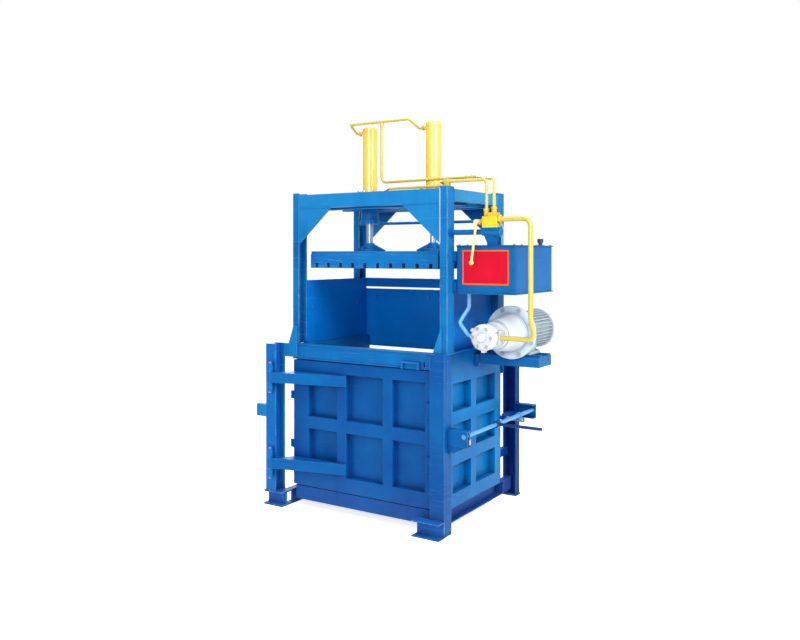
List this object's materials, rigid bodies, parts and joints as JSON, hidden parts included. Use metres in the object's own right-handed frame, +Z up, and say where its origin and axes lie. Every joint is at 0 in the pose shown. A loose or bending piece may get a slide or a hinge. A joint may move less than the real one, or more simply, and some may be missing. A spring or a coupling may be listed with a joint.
{
  "type": "recycling baler",
  "caption": "Vertical hydraulic baler with two cylinders over a press plate, a ribbed bale box with hinged doors, an oil tank and a motor pump unit at the side.",
  "frame": {"origin": "on the ground, under the middle of the machine's outline", "axes": "+X to the right along the front, +Y to the back, +Z up"},
  "size_m": [1.868, 1.118, 2.462],
  "materials": {
    "blue_paint": "satin",
    "yellow_paint": "satin",
    "silver_paint": "satin",
    "red_plate": "satin",
    "chromed_rod": "polished",
    "plain_steel": "satin",
    "dark_steel": "satin"
  },
  "bodies": {
    "frame": {"base_frame": "blue_paint", "floor_plate": "blue_paint", "side_wall_left": "blue_paint", "side_wall_right": "blue_paint", "front_header": "blue_paint", "rear_header": "blue_paint", "front_legs": "blue_paint", "rear_legs": "blue_paint", "portal_beams": "blue_paint", "side_beams": "blue_paint", "portal_gussets": "blue_paint", "cylinder_crossbeams": "blue_paint", "cylinder_seats": "blue_paint", "rear_tie_rod": "blue_paint", "feed_panels": "blue_paint", "rear_feed_panel": "blue_paint", "panel_bolts": "plain_steel", "hinge_posts": "blue_paint", "post_feet": "blue_paint", "post_brackets": "blue_paint", "lock_post_front": "blue_paint", "lock_post_rear": "blue_paint", "rear_post_stays": "blue_paint", "hinge_knuckles": "blue_paint", "hinge_pins": "plain_steel", "lock_brackets": "blue_paint", "cylinder_barrels": "yellow_paint", "cylinder_collars": "blue_paint", "cylinder_bolts": "plain_steel", "oil_tank": "blue_paint", "tank_lid": "blue_paint", "tank_plate": "red_plate", "tank_breather": "dark_steel", "motor_body": "silver_paint", "motor_flange": "silver_paint", "motor_cowl": "silver_paint", "motor_bolts": "plain_steel", "bell_housing": "silver_paint", "oil_pump": "silver_paint", "motor_bracket": "blue_paint", "valve_arm": "blue_paint", "control_valve": "yellow_paint", "pressure_pipe": "yellow_paint", "upper_pipe": "yellow_paint", "lower_pipe": "yellow_paint", "tank_pipes": "blue_paint", "pipe_nuts": "plain_steel"},
    "front_door_leaf": {"front_door": "blue_paint", "front_hinge_arms": "blue_paint"},
    "rear_door_leaf": {"rear_door": "blue_paint", "rear_hinge_arms": "blue_paint"},
    "press": {"press_plate": "blue_paint", "piston_rods": "chromed_rod", "rod_feet": "blue_paint"},
    "lock": {"lock_shaft": "plain_steel", "lock_handle": "dark_steel"},
    "front_bolt": {"lock_bolt_front": "plain_steel"},
    "rear_bolt": {"lock_bolt_rear": "plain_steel"},
    "lever": {"valve_lever": "yellow_paint"},
    "rotor": {"motor_rotor": "plain_steel"}
  },
  "joints": [
    {"name": "front_door_hinge", "type": "hinge", "parent": "frame", "child": "front_door_leaf", "pos_m": [-0.799, -0.54, 0.5], "axis": [0, 0, -1], "range_deg": [0, 120]},
    {"name": "rear_door_hinge", "type": "hinge", "parent": "frame", "child": "rear_door_leaf", "pos_m": [-0.799, 0.476, 0.5], "axis": [0, 0, 1], "range_deg": [0, 120]},
    {"name": "press_slide", "type": "slide", "parent": "frame", "child": "press", "axis": [0, 0, -1], "range_m": [0, 0.5]},
    {"name": "lock_turn", "type": "hinge", "parent": "frame", "child": "lock", "pos_m": [0.533, -0.032, 0.575], "axis": [0, 1, 0], "range_deg": [0, 55]},
    {"name": "front_bolt_slide", "type": "slide", "parent": "frame", "child": "front_bolt", "axis": [-1, 0, 0], "range_m": [0, 0.03048]},
    {"name": "rear_bolt_slide", "type": "slide", "parent": "frame", "child": "rear_bolt", "axis": [-1, 0, 0], "range_m": [0, 0.03048]},
    {"name": "lever_swing", "type": "hinge", "parent": "frame", "child": "lever", "pos_m": [0.605, -0.402, 1.781], "axis": [0, 1, 0], "range_deg": [-20, 20]},
    {"name": "rotor_spin", "type": "hinge", "parent": "frame", "child": "rotor", "pos_m": [0.641, 0.168, 1.137], "axis": [0, 1, 0], "continuous": true}
  ],
  "couplings": [
    {"joint": "front_bolt_slide", "follows": "lock_turn", "m_per_rad": 0.031747},
    {"joint": "rear_bolt_slide", "follows": "lock_turn", "m_per_rad": 0.031747}
  ]
}
